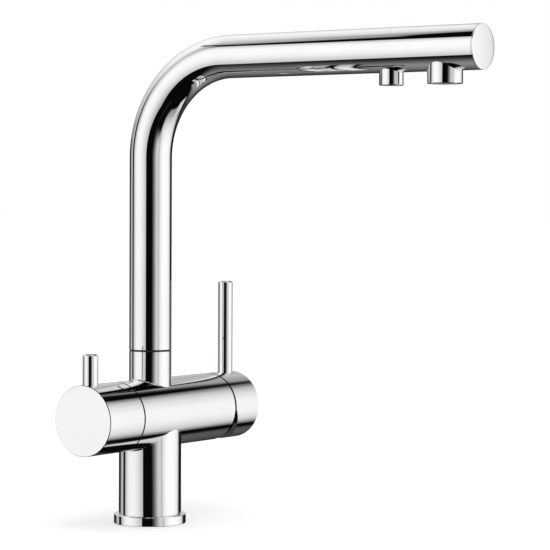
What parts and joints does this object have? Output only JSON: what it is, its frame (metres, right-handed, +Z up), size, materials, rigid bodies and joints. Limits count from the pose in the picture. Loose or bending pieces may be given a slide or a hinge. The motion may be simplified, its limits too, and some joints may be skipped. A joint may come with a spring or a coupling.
{
  "type": "kitchen tap",
  "caption": "Single-hole filtered water tap with a tall swivelling L-shaped spout, a level barrel with a mixer lever and a filtered water lever, and separate outlets under the spout tip.",
  "frame": {"origin": "middle of the column at the deck face, in the mouth of the tapped shank bore", "axes": "+Z up the column, spout towards -Y, mixer lever at the +X end of the barrel and filtered water lever at the -X end"},
  "size_m": [0.1653, 0.2747, 0.3211],
  "materials": {
    "polished_chrome": "mirror polished chrome plate on brass",
    "dark_chrome": "satin chrome plate",
    "bare_brass": "turned brass",
    "steel": "turned stainless steel",
    "black_rubber": "moulded rubber",
    "white_ceramic": "lapped ceramic",
    "white_plastic": "moulded plastic",
    "grey_plastic": "moulded plastic",
    "dark_plastic": "moulded bearing plastic"
  },
  "bodies": {
    "tap_body": {"body_casting": "polished_chrome", "base_ring": "polished_chrome", "base_gasket": "black_rubber", "swivel_washer": "dark_plastic", "swivel_stop_screw": "steel", "valve_seat_seal": "black_rubber", "valve_fixed_disc": "white_ceramic", "valve_body": "bare_brass", "cartridge_port_seal": "black_rubber", "cartridge_base": "white_plastic", "mixer_fixed_disc": "white_ceramic", "cartridge_housing": "white_plastic", "cartridge_nut": "bare_brass", "dome_cover": "dark_chrome"},
    "spout": {"spout_tube": "polished_chrome", "spout_end_cap": "polished_chrome", "swivel_fitting": "bare_brass", "swivel_seal_lower": "black_rubber", "swivel_seal_upper": "black_rubber", "inner_spigot": "bare_brass", "inner_spigot_seal": "black_rubber", "tube_centraliser": "white_plastic", "filter_tube": "white_plastic", "filter_elbow": "bare_brass", "aerator_collar": "polished_chrome", "aerator_grid": "grey_plastic", "aerator_screen": "steel", "aerator_gasket": "black_rubber", "filter_nozzle": "polished_chrome", "nozzle_insert": "grey_plastic", "nozzle_gasket": "black_rubber"},
    "filter_lever": {"filter_cap": "polished_chrome", "filter_lever_pin": "polished_chrome", "filter_grub_screw": "steel", "valve_spindle": "bare_brass", "valve_spindle_seal": "black_rubber", "valve_turning_disc": "white_ceramic", "valve_clip": "steel"},
    "mixer_turret": {"turret": "grey_plastic", "stem_pivot_pin": "steel"},
    "mixing_disc": {"mixer_moving_disc": "white_ceramic", "disc_carrier": "white_plastic"},
    "mixer_lever": {"mixer_stem": "steel", "mixer_cap": "polished_chrome", "mixer_lever_pin": "polished_chrome", "mixer_grub_screw": "steel"}
  },
  "joints": [
    {"name": "spout_swivel", "type": "hinge", "parent": "tap_body", "child": "spout", "pos_m": [0, 0, 0.1145], "axis": [0, 0, 1], "range_deg": [-70, 70]},
    {"name": "filter_turn", "type": "hinge", "parent": "tap_body", "child": "filter_lever", "pos_m": [-0.0354, 0, 0.07265], "axis": [1, 0, 0], "range_deg": [0, 90]},
    {"name": "mixer_temperature", "type": "hinge", "parent": "tap_body", "child": "mixer_turret", "pos_m": [0.063, 0, 0.07265], "axis": [1, 0, 0], "range_deg": [-45, 45]},
    {"name": "mixer_flow", "type": "hinge", "parent": "mixer_turret", "child": "mixer_lever", "pos_m": [0.063, 0, 0.07265], "axis": [0, 1, 0], "range_deg": [0, 25]},
    {"name": "disc_slide", "type": "slide", "parent": "mixer_turret", "child": "mixing_disc", "axis": [0, 0, 1], "range_m": [0, 0.0059]}
  ],
  "couplings": [
    {"joint": "disc_slide", "follows": "mixer_flow", "m_per_rad": 0.0135}
  ]
}
